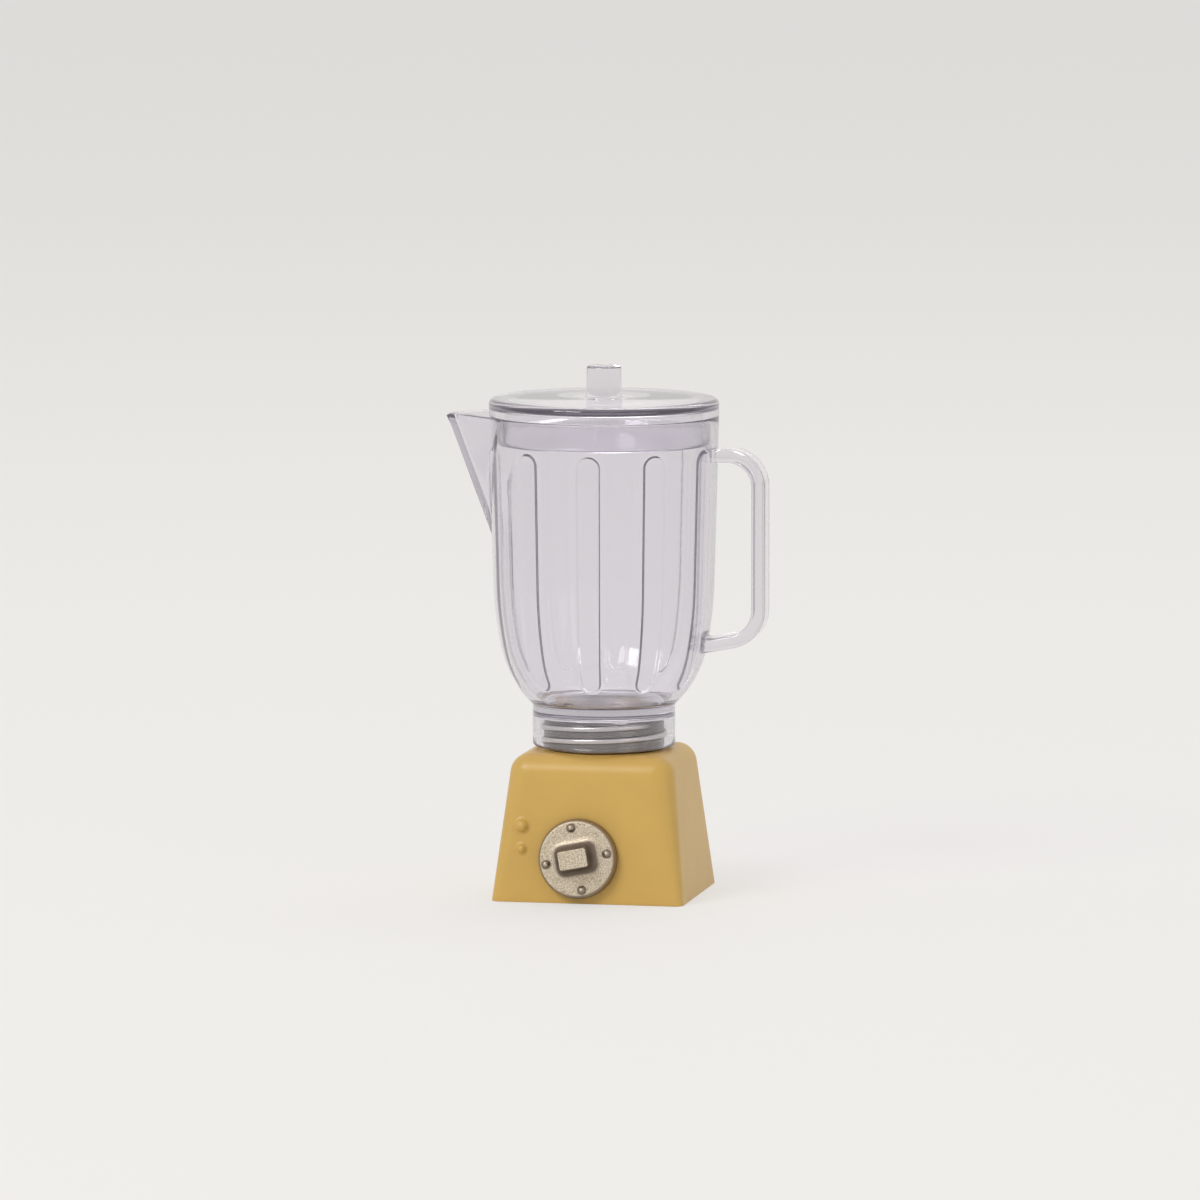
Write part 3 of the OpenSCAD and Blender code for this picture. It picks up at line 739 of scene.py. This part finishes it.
def skirt_points():
    """The skirt's section, from the axis under the floor, down its bore and up its outside."""
    bore = SKIRT_R - SKIRT_WALL
    # The bore has a fillet at its top, and its mouth is eased
    points = [(0, SKIRT_BORE_H), (bore - 0.5, SKIRT_BORE_H), (bore - 0.15, SKIRT_BORE_H - 0.03),
              (bore - 0.03, SKIRT_BORE_H - 0.15), (bore, SKIRT_BORE_H - 0.5), (bore, SKIRT_BORE_H / 2),
              (bore, 0.35), (bore + 0.05, 0.15), (bore + 0.15, 0), (SKIRT_R - SKIRT_BEVEL, 0)]
    points += arc((SKIRT_R - SKIRT_BEVEL, SKIRT_BEVEL), SKIRT_BEVEL, 270, 360, 4)[1:]
    return points + [(SKIRT_R, SKIRT_H / 2), (SKIRT_R, SKIRT_H - 0.2)]


def jug_points():
    """The jug's section as radius, height and inset from the wall's outside, from the skirt to the floor."""
    length = wall_length()
    outer_rows = round(length / OUTER_ROW)
    walls = [(0, RIM_EDGE + (length - RIM_EDGE) * i / outer_rows) for i in range(outer_rows, 0, -1)]
    turns = [math.pi / 2 * i / RIM_STEPS for i in range(RIM_STEPS + 1)]
    rim = [(RIM_EDGE * (1 - math.cos(turn)), RIM_EDGE * (1 - math.sin(turn))) for turn in turns]
    walls += rim
    walls += [(JUG_WALL - inset, drop) for inset, drop in reversed(rim)]
    floor_z = SKIRT_BORE_H + FLOOR_T
    lowest = floor_z + FLOOR_FILLET
    walls += [(JUG_WALL, along) for along in inner_rows() if wall_point(JUG_WALL, along).y > lowest]
    points = [(radius, height, 0) for radius, height in skirt_points()]
    for inset, along in walls:
        radius, height = wall_point(inset, along)
        points.append((radius, height, inset))
    # The fillet runs out into the floor, where a ring beside it keeps the middle flat
    foot = points[-1][0]
    floor = [(foot - 0.45, floor_z + 0.08), (foot - 0.8, floor_z), (foot - 1.3, floor_z), (0, floor_z)]
    return points + [(radius, height, 0) for radius, height in floor]


def jug():
    """The jug: a thin moulded wall with flutes inside, a V spout, a floor and a skirt."""
    bm = bmesh.new()
    # Each vertex keeps its inset, or -1 where the jug is round
    inset_of = bm.verts.layers.float.new("inset")
    verts = []
    for radius, height, inset in jug_points():
        v = bm.verts.new((radius, 0, height))
        v[inset_of] = inset if height > ROUND_H else -1
        verts.append(v)
    edges = [bm.edges.new(pair) for pair in zip(verts, verts[1:])]
    bmesh.ops.spin(bm, geom=verts + edges, cent=(0, 0, 0), axis=(0, 0, 1), angle=2 * math.pi,
                   steps=JUG_COLUMNS, use_merge=True)
    bmesh.ops.remove_doubles(bm, verts=bm.verts, dist=1e-4)
    to_flutes = Matrix.Rotation(math.radians(FLUTE_PHASE), 3, "Z")
    bmesh.ops.rotate(bm, cent=(0, 0, 0), matrix=to_flutes, verts=bm.verts)
    for v in bm.verts:
        inset = v[inset_of]
        if inset < 0:
            continue
        radius = v.co.xy.length
        angle = math.atan2(v.co.y, v.co.x)
        from_spout = abs(abs(angle) - math.pi)
        made = radius
        if inset > JUG_WALL - 1e-4:
            made -= flute_height(angle, radius, v.co.z)
        if from_spout < SPOUT_SIDE and v.co.z > JUG_H - SPOUT_H - SPOUT_BELOW:
            made = blended(made, spout_radius(from_spout, v.co.z, inset), SPOUT_BLEND)
            past = max(0, made - SPOUT_REACH + LIP_REACH) / LIP_REACH
            v.co.z -= LIP_DROP * past * past * max(0, 1 - (JUG_H - v.co.z) / LIP_DEPTH)
        v.co.x *= made / radius
        v.co.y *= made / radius
    bmesh.ops.recalc_face_normals(bm, faces=bm.faces)
    return bm


def handle():
    """The handle: a flat bar with rounded edges, swept through two bends between its roots."""
    bm = bmesh.new()
    bmesh.ops.create_grid(bm, x_segments=1, y_segments=1, size=0.5)
    bmesh.ops.scale(bm, vec=(HANDLE_T, HANDLE_W, 1), verts=bm.verts)
    bmesh.ops.bevel(bm, geom=list(bm.verts), offset=HANDLE_EDGE, segments=5, profile=0.5,
                    affect="VERTICES", material=-1)
    bend_x = HANDLE_X - HANDLE_BEND_R
    root_x = wall_point(0, JUG_H - HANDLE_TOP_Z).x - HANDLE_SINK
    stand = Matrix.Translation((root_x, 0, HANDLE_TOP_Z)) @ Matrix.Rotation(math.pi / 2, 4, "Y")
    bmesh.ops.transform(bm, matrix=stand, verts=bm.verts)
    face = bm.faces[:][0]
    edges = list(face.edges)
    bm.faces.remove(face)

    def run(shift, steps):
        nonlocal edges
        for _ in range(steps):
            made = bmesh.ops.extrude_edge_only(bm, edges=edges)["geom"]
            edges = [g for g in made if isinstance(g, bmesh.types.BMEdge)]
            moved = [g for g in made if isinstance(g, bmesh.types.BMVert)]
            bmesh.ops.translate(bm, vec=Vector(shift) / steps, verts=moved)
        return moved

    def bend(centre, turn, steps):
        nonlocal edges
        verts = list({v for e in edges for v in e.verts})
        made = bmesh.ops.spin(bm, geom=verts + edges, cent=centre, axis=(0, 1, 0),
                              angle=math.radians(turn), steps=steps)["geom_last"]
        edges = [g for g in made if isinstance(g, bmesh.types.BMEdge)]

    rise = math.radians(HANDLE_RISE)
    _, _, heel_centre, _, heel_start, _ = WALL_SECTION
    lower_root_x = heel_centre.x + HEEL_R * math.cos(heel_start)
    lower_z = HANDLE_ROOT_Z + (bend_x - lower_root_x) * math.tan(rise) + HANDLE_BEND_R / math.cos(rise)
    upper_z = HANDLE_TOP_Z - HANDLE_BEND_R
    run((bend_x - root_x, 0, 0), 3)
    bend((bend_x, 0, upper_z), 90, 16)
    run((0, 0, lower_z - upper_z), 4)
    bend((bend_x, 0, lower_z), 90 - HANDLE_RISE, 14)
    start_x = bend_x + HANDLE_BEND_R * math.sin(rise)
    back = Vector((-1, 0, -math.tan(rise)))
    run(back * (start_x - lower_root_x - HANDLE_WEB), 4)
    middle = HANDLE_ROOT_Z + HANDLE_WEB * math.tan(rise)
    grown = 0
    for i in range(1, WEB_STEPS + 1):
        moved = run(back * (HANDLE_WEB / WEB_STEPS), 1)
        middle -= HANDLE_WEB / WEB_STEPS * math.tan(rise)
        height = HANDLE_WEB * (1 - math.sqrt(1 - (i / WEB_STEPS) ** 2))
        raised = [v for v in moved if v.co.z > middle + HANDLE_T / 4]
        bmesh.ops.translate(bm, vec=(0, 0, height - grown), verts=raised)
        grown = height
    run(back * HANDLE_SINK, 1)
    bmesh.ops.holes_fill(bm, edges=[e for e in bm.edges if e.is_boundary])
    bmesh.ops.recalc_face_normals(bm, faces=bm.faces)
    return bm


def lid():
    """The lid: a flange with a rounded edge, a thin plate and the plug ring that goes into the jug."""
    hole = SPIGOT_R + SEAT_GAP
    hollow = PLUG_R - PLUG_WALL
    plate_z = FLANGE_T - PLATE_T
    section = [(hole, plate_z), (hollow - 0.8, plate_z)]
    section += arc((hollow - HOLLOW_FILLET, plate_z - HOLLOW_FILLET), HOLLOW_FILLET, 90, 0, 6)
    # The plug's foot is eased inside and rounded outside
    section += [(hollow, 0), (hollow, 0.6 - PLUG_H)]
    section += [(hollow + 0.08, 0.15 - PLUG_H), (hollow + 0.2, -PLUG_H), (PLUG_R - PLUG_EDGE, -PLUG_H)]
    section += arc((PLUG_R - PLUG_EDGE, PLUG_EDGE - PLUG_H), PLUG_EDGE, 270, 360, 4)[1:]
    # A small fillet leads from the plug to the flange's underside
    foot_r, foot_z = RIM_R - FLANGE_FOOT_EDGE, SEAT_GAP + FLANGE_FOOT_EDGE
    section += [(PLUG_R, -1), (PLUG_R, -0.1), (PLUG_R + 0.06, SEAT_GAP), (foot_r, SEAT_GAP)]
    section += arc((foot_r, foot_z), FLANGE_FOOT_EDGE, 270, 360, 3)[1:]
    section += [(RIM_R, FLANGE_T - FLANGE_EDGE - 0.2)]
    section += arc((RIM_R - FLANGE_EDGE, FLANGE_T - FLANGE_EDGE), FLANGE_EDGE, 0, 90, 10)
    section += [(RIM_R - FLANGE_EDGE - 0.4, FLANGE_T), (3, FLANGE_T), (hole, FLANGE_T), (hole, plate_z)]
    return spun(section, 256)


def knob():
    """The knob with its spigot: a short clear post with a softly rounded top."""
    top_r = KNOB_R - KNOB_DRAFT
    plate_z = SEAT_GAP - PLATE_T
    foot_r = KNOB_R - KNOB_FOOT_EDGE
    section = [(0, plate_z), (SPIGOT_R - 0.1, plate_z), (SPIGOT_R, plate_z + 0.1), (SPIGOT_R, -0.05),
               (SPIGOT_R + 0.1, SEAT_GAP), (foot_r, SEAT_GAP)]
    section += arc((foot_r, SEAT_GAP + KNOB_FOOT_EDGE), KNOB_FOOT_EDGE, 270, 360, 4)[1:]
    section += [(KNOB_R - KNOB_DRAFT / 2, KNOB_H / 2)]
    section += arc((top_r - KNOB_EDGE, KNOB_H - KNOB_EDGE), KNOB_EDGE, 0, 90, 8)
    section += [(top_r - KNOB_EDGE - 0.3, KNOB_H), (0, KNOB_H)]
    return spun(section, 96)


def build():
    """Makes every piece and puts it on its body."""
    shell = housing()
    wall = BVHTree.FromBMesh(shell)
    places = {"dome_lower": on_front(wall, DOME_X, DOME_Z),
              "dome_upper": on_front(wall, DOME_X, DOME_Z + DOME_PITCH)}
    shell = finished("housing_shell", shell, "base", ENAMEL, nodes=["base_housing"])
    for name, radius in DOME_RADII.items():
        finished(name, dome(radius, DOME_FLARE), "base", ENAMEL, places[name])
    at_dial = dial_frame()
    bored(shell, BEARING_R, 4 * BASE_WALL, at_dial)
    finished("dial_disc", dial_disc(), "dial", DISC_SILVER, at_dial, ["dial"])
    finished("dial_grip", dial_grip(), "dial", GRIP_SILVER, at_dial)
    for number in range(4):
        turn = Matrix.Rotation(math.radians(90 * number), 4, "Z")
        spot = turn @ Matrix.Translation((BEAD_RING_R, 0, DIAL_GAP + DIAL_T))
        finished(f"dial_bead_{number + 1}", dome(BEAD_R, BEAD_FLARE), "dial", BEAD_SILVER,
                 at_dial @ spot)
    ring = Matrix.Translation((0, 0, neck_low.z))
    finished("neck_cup", neck_cup(), "base", NECK_SILVER, ring, ["neck_ring"])
    thread, place = neck_thread()
    finished("neck_thread", thread, "base", NECK_SILVER, place)
    stand = Matrix.Translation((0, 0, JUG_Z))
    finished("jug_wall", jug(), "jug", CLEAR, stand, ["jug"])
    finished("handle_bar", handle(), "jug", CLEAR, stand, ["jug_handle"])
    rim = Matrix.Translation((0, 0, RIM_Z))
    finished("lid_cap", lid(), "lid", CLEAR, rim, ["lid"])
    top = Matrix.Translation((0, 0, RIM_Z + FLANGE_T))
    finished("knob_post", knob(), "lid", CLEAR, top, ["lid_knob"])
    looks = {"base_plate": ENAMEL, "plate_screw_1": STEEL, "plate_screw_2": STEEL, "neck_screw": STEEL,
             "dial_clip": STEEL}
    for name, look in looks.items():
        mesh = frame["nodes"][name].data
        mesh.materials.clear()
        mesh.materials.append(look)


def seen_directly(tree):
    """One where the camera sees this itself, in a gloss or through the plastic, and nought for its light."""
    path = add(tree, "LightPath")
    seen = add(tree, "Math", {0: path.outputs["Is Camera Ray"], 1: path.outputs["Is Glossy Ray"]},
               operation="MAXIMUM")
    return add(tree, "Math", {0: seen.outputs[0], 1: path.outputs["Is Transmission Ray"]},
               operation="MAXIMUM").outputs[0]


def pale_floor():
    """A wide pale floor that keeps the object's shadow."""
    bm = bmesh.new()
    bmesh.ops.create_grid(bm, x_segments=1, y_segments=1, size=FLOOR_REACH)
    mesh = bpy.data.meshes.new("floor")
    bm.to_mesh(mesh)
    bm.free()
    floor = bpy.data.objects.new("floor", mesh)
    bpy.context.scene.collection.objects.link(floor)
    made, tree, out = material("pale_floor")
    lit = add(tree, "BsdfPrincipled", {"Base Color": srgb("#EFEDEA"), "Roughness": 0.7})
    pale = add(tree, "Emission", {"Color": srgb(BACKDROP), "Strength": 1})
    glow = add(tree, "Math", {0: seen_directly(tree), 1: FLOOR_GLOW}, operation="MULTIPLY")
    surface = add(tree, "MixShader", {0: glow.outputs[0], 1: lit.outputs[0], 2: pale.outputs[0]})
    tree.links.new(surface.outputs[0], out.inputs["Surface"])
    mesh.materials.append(made)


def studio_world():
    """An even white light from all round, seen as the plain pale background."""
    world = bpy.data.worlds.new("studio")
    bpy.context.scene.world = world
    world.use_nodes = True
    tree = world.node_tree
    tree.nodes.clear()
    light = add(tree, "Background", {"Color": srgb("#FFFFFF"), "Strength": SKY_LIGHT})
    backdrop = add(tree, "Background", {"Color": srgb(BACKDROP), "Strength": 1})
    mix = add(tree, "MixShader", {0: seen_directly(tree), 1: light.outputs[0], 2: backdrop.outputs[0]})
    add(tree, "OutputWorld", {"Surface": mix.outputs[0]})


def soft_lamps():
    """Soft rectangular lamps that face the object."""
    for name, (place, width, height, power) in LAMPS.items():
        data = bpy.data.lights.new(name, "AREA")
        data.shape = "RECTANGLE"
        data.size, data.size_y, data.energy = width, height, power
        lamp = bpy.data.objects.new(name, data)
        lamp.location = place
        lamp.rotation_euler = (Vector(LAMP_AIM) - Vector(place)).to_track_quat("-Z", "Y").to_euler()
        bpy.context.scene.collection.objects.link(lamp)


def camera():
    """The photograph's camera, aimed so that the object stands where the photograph has it."""
    turn, rise = math.radians(CAMERA_TURN), math.radians(CAMERA_RISE)
    back = Vector((math.sin(turn) * math.cos(rise), -math.cos(turn) * math.cos(rise), math.sin(rise)))
    right = Vector((math.cos(turn), math.sin(turn), 0))
    data = bpy.data.cameras.new("camera")
    data.lens, data.sensor_width = CAMERA_LENS, CAMERA_FILM
    data.clip_start, data.clip_end = SIGHT
    made = bpy.data.objects.new("camera", data)
    made.location = (Vector((0, 0, AIM_Z)) - right * AIM_LEFT + back * CAMERA_AWAY) * MM
    made.rotation_euler = (-back).to_track_quat("-Z", "Y").to_euler()
    bpy.context.scene.collection.objects.link(made)
    bpy.context.scene.camera = made


camera()
pale_floor()
studio_world()
soft_lamps()
build()
bpy.context.scene.view_settings.view_transform = "Standard"
